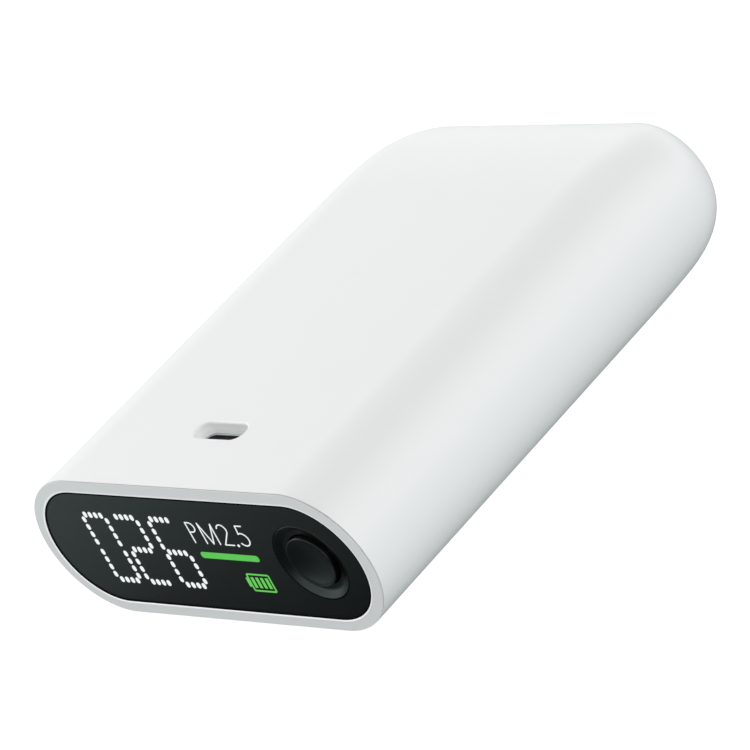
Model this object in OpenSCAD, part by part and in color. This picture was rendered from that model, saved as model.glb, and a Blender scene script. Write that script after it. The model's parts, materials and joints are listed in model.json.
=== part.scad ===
// Hand-size air quality monitor: a white sleeve with a dark front, a battery,
// a laser dust sensor with its own fan, and one push button.
// All places below are measured back from the front rim (y) and up from mid-height (z).

/* [Body] */
// Width of the body
body_w = 60; // [58:1:62]
// Height of the body
body_h = 21.3; // [20.9:0.1:21.7]
// Length of the body, front rim to rear face
body_l = 81.7; // [81:0.1:83]
// Wall of the sleeve, seen as the front rim
wall = 1.77; // [1.6:0.01:1.8]
// Length of the rounding of the sides at the rear
rear_round_x = 11.5; // [10:0.5:13]
// Length of the rounding of the top and the bottom at the rear
rear_round_z = 21; // [19:0.5:21]
// How far the rounding takes in each side of the rear end
rear_inset_x = 8.4; // [7.5:0.1:8.5]
// How far the rounding takes in the top and the bottom of the rear end
rear_inset_z = 4.4; // [4:0.1:4.5]

/* [Front] */
// How far the dark panel sits behind the rim
panel_sink = 0.15; // [0.1:0.05:0.2]
// Thickness of the dark panel
panel_t = 1.2; // [1:0.1:1.2]
// Gap around the dark panel
panel_gap = 0.24; // [0.15:0.01:0.3]
// Height of the lit signs on the panel
sign_t = 0.05; // [0.03:0.01:0.08]

/* [Button] */
// Button centre, right of the middle
button_x = 19.25; // [19:0.05:19.5]
// Outer radius of the dished ring
ring_r = 5.68; // [5.6:0.01:5.75]
// Radius of the cap that is pressed
cap_r = 3.74; // [3.6:0.01:3.8]
// Depth of the hollow in the cap
cap_dish = 0.55; // [0.3:0.05:0.6]

/* [Display reading] */
// Spacing of the lit dots across
dot_pitch_x = 0.995; // [0.9:0.005:1]
// Spacing of the lit dots up and down
dot_pitch_z = 1.204; // [1.1:0.004:1.21]
// Width of one lit dot
dot_w = 0.62; // [0.5:0.01:0.75]
// Height of one lit dot
dot_h = 0.92; // [0.8:0.01:1.05]

/* [Charging opening] */
// Width of the opening in the top face
port_w = 8.7; // [8.6:0.1:9]
// Length of the opening, front to back
port_l = 3.1; // [3:0.1:3.3]
// Middle of the opening behind the front rim
port_y = 11.5; // [11.4:0.05:11.6]

/* [Dust sensor] */
// Width of the sensor case
sensor_w = 38; // [37:0.5:38]
// Length of the sensor case
sensor_l = 35; // [35:0.5:35.5]
// Height of the sensor case with its cover
sensor_h = 12; // [12:0.1:12.2]
// Blades on the fan
blade_count = 11; // [7:1:13]

/* [Hidden] */
$fn = 64;
cut = 0.5; // how far a cutter reaches past the face it opens

// Inside of the sleeve
in_w = body_w - 2 * wall;
in_h = body_h - 2 * wall;
rear_y = body_l - rear_round_z;
hull_fn = 32;
hull_steps = 12;

// Front stack, front to back
panel_y = panel_sink;
tape_y = panel_y + panel_t;
tape_t = 0.3;
frame_y = tape_y + tape_t;
frame_t = 2;
frame_back = frame_y + frame_t;
board_y = 9.1;
board_t = 1;
board_back = board_y + board_t;
window = [-22.2, 12.6, 6.7]; // left, right and half height of the display window
hook_x = [-12, 12];
screw_posts = [[-25.3, 0], [26, 0]];
screw_post_r = 1.5;

// Button and switch, as distances behind the front rim
hole_r = ring_r + 0.08;
ring_back = 2.2;
ring_bore_r = cap_r + 0.11;
flange_r = 4.65;
flange_y = ring_back + 0.05;
flange_t = 0.8;
stem_r = 1.2;
tip_y = 5.3;
switch_y = 5.9;
switch_size = 6;

// Chassis, battery and boards
tray_y = 13.6;
tray_l = 47;
tray_top = -7.9;
tray_gap = 0.1;
battery = [38, 24, 7.5];
battery_y = 14.2;
low_z = -7.7;
main_z = 5.2;
main_t = 1;
main_y = 14;
main_l = 58;
main_w = 45;
main_top = main_z + main_t;
boss_x = 21.2;
boss_y = [17, 57.5];
boss_r = 1.45;

// Dust sensor
sensor_y = 38.3;
sensor_back = sensor_y + sensor_l;
case_wall = 1;
cover_z = low_z + sensor_h - case_wall;
duct_w = 12.6;
duct_mid = 10.5; // middle of each air window, left and right of the centre
duct_h = 6;
fan_pos = [9, 58];
fan_floor_z = -5.9;
laser_x = -11;
laser_z = -2;
gasket_back = body_l - wall;

// Colours
shell_white = "white";
ink_black = [0.13, 0.14, 0.14];
board_green = [0.1, 0.35, 0.22];
chip_black = [0.12, 0.12, 0.13];
steel = "silver";
gold = [0.83, 0.68, 0.32];
cream = [0.92, 0.9, 0.83];

// ---- helpers ----

// Puts what is measured from the front rim and mid-height into the part's own frame
module seat() {
  translate([0, -body_l / 2, body_h / 2]) children();
}

// An outline drawn across (x) and up (z), carried back from y by depth
module back_from(y, depth) {
  translate([0, y + depth, 0]) rotate([90, 0, 0]) linear_extrude(depth) children();
}

// An outline drawn across (x) and back (y), carried up from z by height
module up_from(z, height) {
  translate([0, 0, z]) linear_extrude(height) children();
}

// An outline drawn back (y) and up (z), carried across from x by width
module across_from(x, width) {
  translate([x, 0, 0]) rotate([90, 0, 90]) linear_extrude(width) children();
}

module stadium(w, h) {
  square([w - h, h], center = true);
  for (side = [-1, 1]) translate([side * (w - h) / 2, 0]) circle(d = h);
}

module round_rect(w, h, r) {
  square([w - 2 * r, h], center = true);
  square([w, h - 2 * r], center = true);
  for (x = [-1, 1], z = [-1, 1]) translate([x * (w / 2 - r), z * (h / 2 - r)]) circle(r = r);
}

// A box from its low corner
module block(at, size) {
  translate(at) cube(size);
}

// A round bar running back from y
module bar(x, z, y, r, depth) {
  translate([x, y + depth, z]) rotate([90, 0, 0]) cylinder(r = r, h = depth);
}

// A straight pen line with round ends
module pen(a, b, w) {
  d = b - a;
  translate(a) circle(d = w);
  translate(b) circle(d = w);
  translate(a) rotate(atan2(d.y, d.x)) translate([0, -w / 2]) square([norm(d), w]);
}

// A pen line through several points
module pen_path(points, w) {
  for (i = [1 : len(points) - 1]) pen(points[i - 1], points[i], w);
}

// Points of an arc from one angle to another
function arc(at, r, from, to, steps) =
  [for (i = [0 : steps]) let (a = from + (to - from) * i / steps) at + r * [cos(a), sin(a)]];

// A lead of square section that bends back (y) and up (z) through points, centred on x
module lead(x, points, d) {
  across_from(x - d / 2, d) pen_path(points, d);
}

// How far a side is taken in at y by a rounding of some length that takes in inset at its end
function taken_in(y, end, length, inset) =
  let (u = max(0, min(1, (y - end + length) / length))) inset * (1 - sqrt(1 - u * u));

// The rounded rear end, from rear_y to end: stadium slices that shrink along quarter ellipses
module rear_end(w, h, end) {
  slice_t = 0.02;
  shorter = body_l - end;
  hull() for (i = [0 : hull_steps]) {
    y = end - (end - rear_y - slice_t) * (1 - sin(90 * i / hull_steps));
    back_from(y - slice_t, slice_t)
      stadium(w - 2 * taken_in(y, end, rear_round_x - shorter, rear_inset_x),
        h - 2 * taken_in(y, end, rear_round_z - shorter, rear_inset_z), $fn = hull_fn);
  }
}

// ---- sleeve ----

module outer_shell() {
  vent_l = 11;
  vent_h = 1.2;
  vent_pitch = 2.1;
  pocket = [4.4, 1.9, 0.6];
  color(shell_white) seat() difference() {
    union() {
      back_from(0, rear_y) stadium(body_w, body_h);
      rear_end(body_w, body_h, body_l);
    }
    back_from(-cut, rear_y + cut) stadium(in_w, in_h);
    rear_end(in_w, in_h, body_l - wall);
    // charging opening in the top face
    translate([0, port_y, in_h / 2 - cut]) linear_extrude(wall + 2 * cut) round_rect(port_w, port_l, 1.45);
    // air slots in the rear face, inlet on one side and outlet on the other
    for (side = [-1, 1], row = [-1 : 1])
      translate([side * duct_mid, 0, row * vent_pitch])
        back_from(body_l - wall - cut, wall + 2 * cut) stadium(vent_l, vent_h);
    // pockets that the front frame's hooks snap into
    for (x = hook_x, side = [-1, 1])
      block([x - pocket.x / 2, 6, side > 0 ? in_h / 2 - 0.1 : -in_h / 2 - pocket.z + 0.1], pocket);
  }
}

// ---- front ----

module front_panel() {
  color(ink_black) seat() difference() {
    back_from(panel_y, panel_t) stadium(in_w - 2 * panel_gap, in_h - 2 * panel_gap);
    bar(button_x, 0, panel_y - cut, hole_r, panel_t + 2 * cut);
  }
}

// Black rubber seal that fills the gap round the panel
module panel_seal() {
  slack = 0.02;
  proud = 0.08;
  seal_y = panel_y - proud;
  color("black") seat() back_from(seal_y, frame_y - seal_y) difference() {
    stadium(in_w - 2 * slack, in_h - 2 * slack);
    stadium(in_w - 2 * (panel_gap - slack), in_h - 2 * (panel_gap - slack));
  }
}

// The opening behind the panel that the display looks through
module window_cut(y, t) {
  block([window[0], y - cut, -window[2]], [window[1] - window[0], t + 2 * cut, 2 * window[2]]);
}

module panel_tape() {
  color("dimgray") seat() difference() {
    back_from(tape_y, tape_t) stadium(in_w - 1, in_h - 1);
    window_cut(tape_y, tape_t);
    bar(button_x, 0, tape_y - cut, hole_r + 0.3, tape_t + 2 * cut);
  }
}

module front_frame() {
  hook = [4, 1.2, 0.4];
  tongue_t = 0.8;
  tongue_end = 7.6;
  color("whitesmoke") seat() {
    difference() {
      union() {
        back_from(frame_y, frame_t) stadium(in_w - 0.3, in_h - 0.3);
        for (p = screw_posts) bar(p.x, p.y, frame_y, screw_post_r, board_y - frame_y);
      }
      window_cut(frame_y, frame_t);
      // seat of the dished ring, then the guide of the cap's flange
      bar(button_x, 0, frame_y - cut, hole_r, ring_back - frame_y + cut);
      bar(button_x, 0, frame_y, flange_r + 0.1, frame_t + cut);
      // way out for the display's flex
      block([-12.3, 2.5, -7.7], [14.6, 2, 1.5]);
      for (p = screw_posts) bar(p.x, p.y, board_y - 4, 0.75, 4 + cut);
    }
    // hooks that hold the front in the sleeve
    for (x = hook_x, side = [-1, 1]) {
      top = in_h / 2 - 0.15;
      block([x - hook.x / 2, frame_back, side > 0 ? top - tongue_t : -top],
        [hook.x, tongue_end - frame_back, tongue_t]);
      block([x - hook.x / 2, tongue_end - hook.y, side > 0 ? top : -top - hook.z], hook);
    }
  }
}

// ---- lit signs ----

// Places of the dots along one seven-segment stroke; c is the column offset of the sides
function side_col(upper, right) =
  [for (k = [0 : 3]) [right ? 3 + dot_side : -dot_side, (upper ? dot_side : 3 * dot_side + 3) + k]];
function level_row(n) = [for (u = [0 : 3]) [u, n * (2 * dot_side + 3)]];
dot_side = 0.69;

digit_zero = concat(level_row(0), side_col(true, false), side_col(true, true),
  side_col(false, false), side_col(false, true), level_row(2));
digit_two = concat(level_row(0), side_col(true, true), level_row(1), side_col(false, false), level_row(2));
digit_six = concat(level_row(0), side_col(true, false), level_row(1),
  side_col(false, false), side_col(false, true), level_row(2));
digits = [[digit_zero, 0], [digit_two, 5.9], [digit_six, 12.51]];
digits_at = [-18.74, 5.31];
sign_y = panel_y - sign_t;

module lit_digits() {
  color("white") seat() for (d = digits, p = d[0])
    translate([digits_at.x + (p.x + d[1]) * dot_pitch_x, 0, digits_at.y - p.y * dot_pitch_z])
      back_from(sign_y, sign_t) rotate(90) stadium(dot_h, dot_w);
}

module lit_label() {
  w = 0.16;
  base = 1.96;
  top = 5.15;
  mid = (base + top) / 2 + 0.1;
  color("white") seat() back_from(sign_y, sign_t) {
    // P
    bowl_r = (top - mid) / 2;
    pen_path([[-0.14, base], [-0.14, top], [0.4, top]], w);
    pen_path(arc([0.4, (top + mid) / 2], bowl_r, 90, -90, 8), w);
    pen_path([[0.4, mid], [-0.14, mid]], w);
    // M
    pen_path([[2.04, base], [2.04, top], [3.23, base], [4.42, top], [4.42, base]], w);
    // 2
    pen_path(concat(arc([6.1, top - 0.82], 0.82, 165, -35, 9), [[5.33, base], [6.95, base]]), w);
    // decimal point
    translate([7.68, base]) circle(r = 0.2);
    // 5
    pen_path([[10.0, top], [8.92, top], [8.82, 3.95]], w);
    pen_path(arc([9.24, base + 1.04], 0.98, 120, -140, 10), w);
  }
}

module lit_level_bar() {
  color([0.35, 0.8, 0.3]) seat() translate([4.83, 0, 0]) back_from(sign_y, sign_t)
    round_rect(10.45, 0.95, 0.4);
}

module lit_battery_sign() {
  size = [4.12, 2.84];
  line_w = 0.22;
  bar_pitch = 0.86;
  color([0.45, 0.85, 0.4]) seat() translate([8.02, 0, -3.94]) back_from(sign_y, sign_t) {
    difference() {
      round_rect(size.x, size.y, 0.3);
      square([size.x - 2 * line_w, size.y - 2 * line_w], center = true);
    }
    for (k = [-1.5 : 1.5]) translate([k * bar_pitch, 0]) square([0.46, 1.66], center = true);
    translate([-size.x / 2 - 0.2, 0]) square([0.4, 1.4], center = true);
  }
}

// ---- button ----

module button_ring() {
  ring_front = panel_y;
  ring_low = ring_front + 0.7;
  edge = 0.1;
  color(ink_black) seat() translate([button_x, 0, 0]) rotate([-90, 0, 0]) rotate_extrude()
    polygon([[ring_bore_r, ring_low], [ring_bore_r + edge, ring_low - edge], [ring_r - edge, ring_front],
      [ring_r, ring_front + edge], [ring_r, ring_back], [ring_bore_r, ring_back]]);
}

module button_cap() {
  cap_front = panel_y;
  edge = 0.12;
  dish_w = cap_r - edge;
  dish_r = (pow(dish_w, 2) + pow(cap_dish, 2)) / (2 * cap_dish);
  color(ink_black) seat() difference() {
    translate([button_x, 0, 0]) rotate([-90, 0, 0]) rotate_extrude()
      polygon([[0, cap_front], [cap_r - edge, cap_front], [cap_r, cap_front + edge], [cap_r, flange_y],
        [flange_r, flange_y], [flange_r, flange_y + flange_t], [stem_r, flange_y + flange_t],
        [stem_r, tip_y - 0.02], [0, tip_y - 0.02]]);
    translate([button_x, cap_front + cap_dish - dish_r, 0]) sphere(r = dish_r, $fn = 128);
  }
}

module switch_base() {
  color(chip_black) seat() difference() {
    block([button_x - switch_size / 2, switch_y, -switch_size / 2],
      [switch_size, board_y - switch_y, switch_size]);
    bar(button_x, 0, switch_y - cut, 2.2, board_y - switch_y);
  }
}

module switch_cover() {
  cover_t = 0.3;
  color(steel) seat() difference() {
    block([button_x - switch_size / 2, switch_y - cover_t, -switch_size / 2],
      [switch_size, cover_t, switch_size]);
    bar(button_x, 0, switch_y - cover_t - cut, 1.75, cover_t + 2 * cut);
  }
}

module switch_dome() {
  floor_y = board_y - cut;
  rise = 0.35;
  dome_w = 2;
  dome_r = (pow(dome_w, 2) + pow(rise, 2)) / (2 * rise);
  color(gold) seat() intersection() {
    translate([button_x, floor_y - rise + dome_r, 0]) difference() {
      sphere(r = dome_r, $fn = 128);
      sphere(r = dome_r - 0.1, $fn = 128);
    }
    bar(button_x, 0, floor_y - 1, dome_w, 1);
  }
}

module switch_plunger() {
  shoulder_y = switch_y + 0.06;
  color("firebrick") seat() {
    bar(button_x, 0, tip_y, 1.7, shoulder_y - tip_y + 0.1);
    bar(button_x, 0, shoulder_y, 2.1, 0.85);
    bar(button_x, 0, shoulder_y + 0.8, 0.8, 1.1);
  }
}

module switch_legs() {
  leg = [0.9, 0.3, 0.7];
  color(steel) seat() for (side = [-1, 1], z = [-2.25, 2.25])
    block([button_x + side * (switch_size + leg.x) / 2 - leg.x / 2, board_y - leg.y, z - leg.z / 2], leg);
}

// ---- display ----

module display_glass() {
  color([0.1, 0.11, 0.12]) seat() block([-22, frame_y, -6.5], [34.4, 1.45, 13]);
}

module display_foam() {
  color("dimgray") seat() block([-21.6, frame_y + 1.45, -5.6], [33.6, 1, 11.2]);
}

module display_bracket() {
  outer = [-23.2, 13.4, 6.85];
  inner = [-22, 12.4, 5.7];
  back_y = frame_y + 2.45;
  color("whitesmoke") seat() difference() {
    block([outer[0], frame_back, -outer[2]], [outer[1] - outer[0], board_y - frame_back, 2 * outer[2]]);
    for (span = [[frame_back - cut, back_y], [back_y + 1, board_y + cut]])
      block([inner[0], span[0], -inner[2]], [inner[1] - inner[0], span[1] - span[0], 2 * inner[2]]);
  }
}

module display_flex() {
  flex_t = 0.12;
  low = -7.42;
  far = board_back + 0.5;
  color([0.75, 0.5, 0.15]) seat() {
    block([-11, 2.8, low], [12, flex_t, -6.5 - low]);
    block([-11, 2.8, low], [12, far - 2.8 + flex_t, flex_t]);
    block([-11, far, low], [12, flex_t, -6.8 - low]);
  }
}

module display_socket() {
  color(cream) seat() block([-12, board_back, -6.8], [14, 1.2, 2]);
}

// ---- front board and charging socket ----

module front_board() {
  color(board_green) seat() difference() {
    back_from(board_y, board_t) stadium(in_w - 1.6, in_h - 2.2);
    for (p = screw_posts) bar(p.x, p.y, board_y - cut, 1.05, board_t + 2 * cut);
    // notch that the display's flex passes through
    block([-11.5, board_y - cut, -8.5], [13, board_t + 2 * cut, 1.5]);
    // room for the hooks
    for (x = hook_x, side = [-1, 1])
      block([x - 2.5, board_y - cut, side * 8.1 - 0.4], [5, 2 * cut + board_t, 0.8]);
  }
}

module front_screws() {
  color(steel) seat() for (p = screw_posts) difference() {
    union() {
      bar(p.x, p.y, board_back - 3.5, 0.7, 3.6);
      bar(p.x, p.y, board_back, 1.5, 0.9);
    }
    for (turn = [0, 90]) translate([p.x, board_back + 0.75, p.y]) rotate([0, turn, 0])
      cube([1.8, 0.5, 0.35], center = true);
  }
}

socket_at = [0, port_y, 3.7];
socket = [8.9, 2.8, 4.9];
collar = [9.3, 3.3, 0.8];
socket_top = in_h / 2 - 0.04 - socket_at.z;

module charge_socket_shell() {
  color(steel) seat() translate(socket_at) difference() {
    union() {
      linear_extrude(socket.z) round_rect(socket.x, socket.y, 1.35);
      // collar that shows round the foot of the opening
      up_from(socket_top - collar.z, collar.z) round_rect(collar.x, collar.y, 1.6);
    }
    up_from(0.3, socket_top) round_rect(socket.x - 0.6, socket.y - 0.6, 1.05);
    up_from(socket_top - collar.z + 0.3, collar.z) round_rect(socket.x - 0.4, socket.y - 0.2, 1.25);
  }
}

module charge_socket_tongue() {
  color(chip_black) seat() translate(socket_at) {
    up_from(0.3, 1) round_rect(socket.x - 0.6, socket.y - 0.6, 1.05);
    up_from(1.3, 2.2) round_rect(6, 0.7, 0.2);
  }
}

module charge_socket_contacts() {
  contact = [0.3, 0.08, 1.8];
  color(gold) seat() translate(socket_at) for (k = [-3 : 3], side = [-1, 1])
    translate([k * 0.75, side * (0.35 + contact.y / 2), 1.3 + contact.z / 2]) cube(contact, center = true);
}

// ---- chassis and battery ----

module chassis_tray() {
  fence_h = 3;
  fence_x = battery.x / 2 + 0.25;
  color("whitesmoke") seat() difference() {
    union() {
      intersection() {
        back_from(tray_y, tray_l) stadium(in_w - 2 * tray_gap, in_h - 2 * tray_gap);
        block([-body_w / 2, tray_y, -body_h / 2], [body_w, tray_l, body_h / 2 + tray_top]);
      }
      for (x = [-boss_x, boss_x], y = boss_y)
        translate([x, y, tray_top]) cylinder(r = boss_r, h = main_z - tray_top);
      // fences that keep the battery in place
      for (side = [-1, 1]) block([side * fence_x - (side < 0 ? 0.8 : 0), 22, tray_top], [0.8, 12, fence_h]);
    }
    for (x = [-boss_x, boss_x], y = boss_y) translate([x, y, main_z - 5]) cylinder(r = 0.75, h = 5 + cut);
    // openings that save material under the sensor
    for (x = [-9, 9])
      up_from(-body_h / 2, body_h / 2 + tray_top + cut) translate([x, 49]) round_rect(13, 14, 2);
  }
}

module battery_cell() {
  r = 1.6;
  color([0.62, 0.66, 0.7]) seat() intersection() {
    translate([0, 0, low_z + battery.z / 2])
      back_from(battery_y, battery.y) round_rect(battery.x, battery.z, r);
    translate([0, battery_y + battery.y / 2, 0])
      up_from(low_z, battery.z) round_rect(battery.x, battery.y, r);
  }
}

module battery_tape() {
  color("gold") seat() block([-14, battery_y + 3, tray_top], [28, battery.y - 6, low_z - tray_top]);
}

module battery_guard_board() {
  color(board_green) seat() block([-17, battery_y - 0.8, -6], [20, 0.8, 3.4]);
}

lead_x = -14;
lead_pitch = 2;

module battery_leads() {
  lead_d = 0.9;
  low_y = battery_y - 0.8 - lead_d / 2;
  color("firebrick") seat() for (side = [-1, 1])
    lead(lead_x + side * lead_pitch / 2, [[low_y, -5], [low_y, 1.4], [15.2, 3.6], [16.6, 3.6]], lead_d);
}

module battery_socket() {
  color(cream) seat() block([lead_x - 3, 17.05, 2.4], [6, 4.4, main_z - 2.4]);
}

// ---- main board ----

module main_board() {
  color(board_green) seat() difference() {
    translate([0, main_y + main_l / 2]) up_from(main_z, main_t) round_rect(main_w, main_l, 1.5);
    for (x = [-boss_x, boss_x], y = boss_y)
      translate([x, y, main_z - cut]) cylinder(r = 1.05, h = main_t + 2 * cut);
  }
}

module main_screws() {
  color(steel) seat() for (x = [-boss_x, boss_x], y = boss_y) translate([x, y, 0]) difference() {
    union() {
      up_from(main_top - 4, 4.1) circle(r = 0.7);
      up_from(main_top, 0.9) circle(r = 1.3);
    }
    for (turn = [0, 90]) rotate(turn)
      translate([0, 0, main_top + 0.8]) cube([1.6, 0.35, 0.5], center = true);
  }
}

module processor_chip() {
  size = 7;
  color(chip_black) seat() {
    translate([-6, 32, 0]) up_from(main_top + 0.1, 0.9) square(size, center = true);
    // leads on the four sides
    for (turn = [0 : 90 : 270], k = [-5 : 5])
      translate([-6, 32, main_top]) rotate(turn)
        block([size / 2 - 0.3, k * 0.58 - 0.12, 0], [0.9, 0.24, 0.1]);
  }
}

module radio_module() {
  color(steel) seat() {
    block([5, 24, main_top], [13, 16, 0.8]);
    block([5.5, 28, main_top + 0.8], [12, 11.5, 1.4]);
  }
}

module charger_chip() {
  color(chip_black) seat() block([-14, 20, main_top], [3, 3, 0.8]);
}

module power_inductor() {
  color([0.25, 0.25, 0.27]) seat() translate([-6.5, 21.5, 0])
    up_from(main_top, 1.9) round_rect(4.4, 4.4, 0.8);
}

module clock_crystal() {
  color(steel) seat() translate([-6, 39.5, 0]) up_from(main_top, 0.8) round_rect(3.2, 1.6, 0.3);
}

module capacitors() {
  cap_size = [1.6, 0.8, 0.8];
  color([0.72, 0.58, 0.42]) seat() {
    for (k = [0 : 4]) block([-16, 27 + 2 * k, main_top], cap_size);
    for (k = [0 : 3]) block([-0.2, 26 + 2 * k, main_top], cap_size);
    for (k = [0 : 2]) block([-12 + 5 * k, 48, main_top], cap_size);
  }
}

module resistors() {
  res_size = [1, 0.5, 0.35];
  color(chip_black) seat() {
    for (k = [0 : 5]) block([-12.4, 27 + 1.4 * k, main_top], res_size);
    for (k = [0 : 6]) block([-12 + 3 * k, 52, main_top], res_size);
  }
}

module bridge_flex() {
  flex_t = 0.12;
  start_z = 3.5;
  top_z = 4.48;
  color([0.75, 0.5, 0.15]) seat() {
    block([8, board_back + 0.45, start_z], [8, flex_t, top_z - start_z + flex_t]);
    block([8, board_back + 0.45, top_z], [8, 16 - board_back - 0.45, flex_t]);
  }
}

module bridge_sockets() {
  color(cream) seat() {
    block([7.5, board_back, 1.5], [9, 1, 2]);
    block([7.5, 16, main_z - 1], [9, 2.5, 1]);
  }
}

// ---- dust sensor ----

// The inlet and outlet windows, through a wall that starts at y
module duct_windows(y, depth) {
  for (side = [-1, 1]) translate([side * duct_mid, 0, 0])
    back_from(y, depth) round_rect(duct_w, duct_h, 0.6);
}

module sensor_case() {
  mid_y = sensor_y + sensor_l / 2;
  color([0.2, 0.22, 0.26]) seat() difference() {
    translate([0, mid_y]) up_from(low_z, cover_z - low_z) round_rect(sensor_w, sensor_l, 1);
    translate([0, mid_y]) up_from(low_z + case_wall, sensor_h)
      round_rect(sensor_w - 2 * case_wall, sensor_l - 2 * case_wall, 0.5);
    duct_windows(sensor_back - case_wall - cut, case_wall + 2 * cut);
  }
}

module sensor_cover() {
  color(steel) seat() translate([0, sensor_y + sensor_l / 2])
    up_from(cover_z, case_wall) round_rect(sensor_w, sensor_l, 1);
}

module sensor_board() {
  gap = 0.1;
  inside = sensor_w - 2 * (case_wall + gap);
  color(board_green) seat() block([-inside / 2, sensor_y + case_wall + gap, low_z + case_wall],
    [inside, sensor_l - 2 * (case_wall + gap), 0.8]);
}

module laser_holder() {
  color(chip_black) seat() difference() {
    block([laser_x - 4, 42, fan_floor_z], [8, 9, 7]);
    bar(laser_x, laser_z, 42 - cut, 2, 9 + 2 * cut);
  }
}

module laser_diode() {
  color(gold) seat() {
    bar(laser_x, laser_z, 42.4, 2, 1);
    bar(laser_x, laser_z, 43.4, 1.6, 2.4);
    for (k = [-1 : 1]) bar(laser_x + 0.8 * k, laser_z, 41, 0.2, 1.4);
  }
}

module laser_lens() {
  lens_r = 2;
  crown_r = 3.6;
  lens_y = 47;
  color([0.75, 0.85, 0.95]) seat() intersection() {
    bar(laser_x, laser_z, lens_y, lens_r, 2);
    translate([laser_x, lens_y + 1.3 - crown_r, laser_z]) sphere(r = crown_r, $fn = 128);
  }
}

module photodiode() {
  color(chip_black) seat() {
    block([laser_x - 1.6, 59, fan_floor_z], [3.2, 3.2, 1]);
    block([laser_x - 1, 59.6, fan_floor_z + 1], [2, 2, 0.2]);
  }
}

module beam_trap() {
  color(chip_black) seat() across_from(laser_x - 3, 6)
    polygon([[66, fan_floor_z], [70, fan_floor_z], [70, 1.5], [69, 1.5], [69, -3.5], [66, -5]]);
}

module fan_volute() {
  r = 7.8;
  t = 0.8;
  run = sensor_back - case_wall - 0.1 - fan_pos.y;
  color([0.2, 0.22, 0.26]) seat() translate([fan_pos.x, fan_pos.y, 0]) difference() {
    union() {
      up_from(fan_floor_z, 8.3) difference() {
        union() {
          circle(r = r + t);
          translate([-r - t, 0]) square([2 * (r + t), run]);
        }
        circle(r = r);
        translate([-r, 0]) square([2 * r, run + cut]);
      }
      up_from(fan_floor_z, 0.6) circle(r = r + 0.1);
      up_from(fan_floor_z, 1.4) circle(r = 1.8);
    }
    up_from(fan_floor_z - cut, 3) circle(r = 0.5);
  }
}

module fan_axle() {
  color(steel) seat() translate([fan_pos.x, fan_pos.y, 0]) up_from(fan_floor_z, 7.4) circle(r = 0.5);
}

module fan_stator() {
  low = fan_floor_z + 1.4;
  color([0.72, 0.42, 0.2]) seat() translate([fan_pos.x, fan_pos.y, 0]) difference() {
    union() {
      up_from(low, 4.4) circle(r = 1.5);
      for (turn = [0 : 90 : 270]) rotate(turn) {
        up_from(low, 4.4) translate([0, -0.5]) square([2.3, 1]);
        up_from(low + 0.8, 2.8) translate([1.2, -0.8]) square([0.8, 1.6]);
      }
    }
    up_from(low - cut, 6) circle(r = 1.1);
  }
}

hub_r = 3.8;
cup_r = 3.3;
disc_z = -4.9;
hub_top = 1.8;

module fan_rotor() {
  tip_r = 7.2;
  color(chip_black) seat() translate([fan_pos.x, fan_pos.y, 0]) difference() {
    union() {
      up_from(disc_z, 0.6) circle(r = tip_r);
      up_from(disc_z, hub_top - disc_z) circle(r = hub_r);
      // blades that lean back
      for (k = [0 : blade_count - 1]) rotate(360 * k / blade_count)
        up_from(disc_z, 6) translate([hub_r - 0.3, 0]) rotate(28) translate([0, -0.3]) square([3.3, 0.6]);
    }
    difference() {
      up_from(disc_z - cut, hub_top - disc_z - 0.6 + cut) circle(r = cup_r);
      up_from(disc_z + 1.6, 6) circle(r = 0.9);
    }
    up_from(disc_z - cut, 8) circle(r = 0.53);
  }
}

module fan_magnet() {
  color("gray") seat() translate([fan_pos.x, fan_pos.y, 0]) up_from(-3.6, 4.2) difference() {
    circle(r = cup_r);
    circle(r = cup_r - 0.6);
  }
}

plug_low = 0.1;
plug_h = 2.9;
plug_x = -14;

module sensor_plug() {
  color(cream) seat() block([plug_x, sensor_y - 2.2, plug_low], [8, 2.2, plug_h]);
}

module sensor_header() {
  color(cream) seat() block([plug_x, 30, 2.6], [8, 3, main_z - 2.6]);
}

module sensor_leads() {
  lead_d = 0.6;
  plug_face = sensor_y - 2.2 - lead_d / 2;
  header_back = 33 + lead_d / 2;
  color("gray") seat() for (k = [0 : 4])
    lead(plug_x + 1.5 + 1.25 * k, [[plug_face, 1.5], [plug_face - 0.6, 1.6], [34.1, 3.8], [header_back, 3.9]], lead_d);
}

// ---- air path to the rear ----

module duct_gasket() {
  color("dimgray") seat() difference() {
    block([-17.5, sensor_back, -duct_h / 2 - 0.8], [35, gasket_back - sensor_back, duct_h + 1.6]);
    duct_windows(sensor_back - cut, gasket_back - sensor_back + 2 * cut);
  }
}

module dust_mesh() {
  mesh_t = 0.3;
  hole_pitch = 1.1;
  hole_size = 0.38;
  color(steel) seat() for (side = [-1, 1])
    translate([side * duct_mid, 0, 0]) back_from(gasket_back - mesh_t, mesh_t) difference() {
      round_rect(duct_w, duct_h, 0.6);
      for (column = [-5 : 5], row = [-2 : 2])
        translate([column * hole_pitch, row * hole_pitch]) circle(r = hole_size);
    }
}

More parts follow.
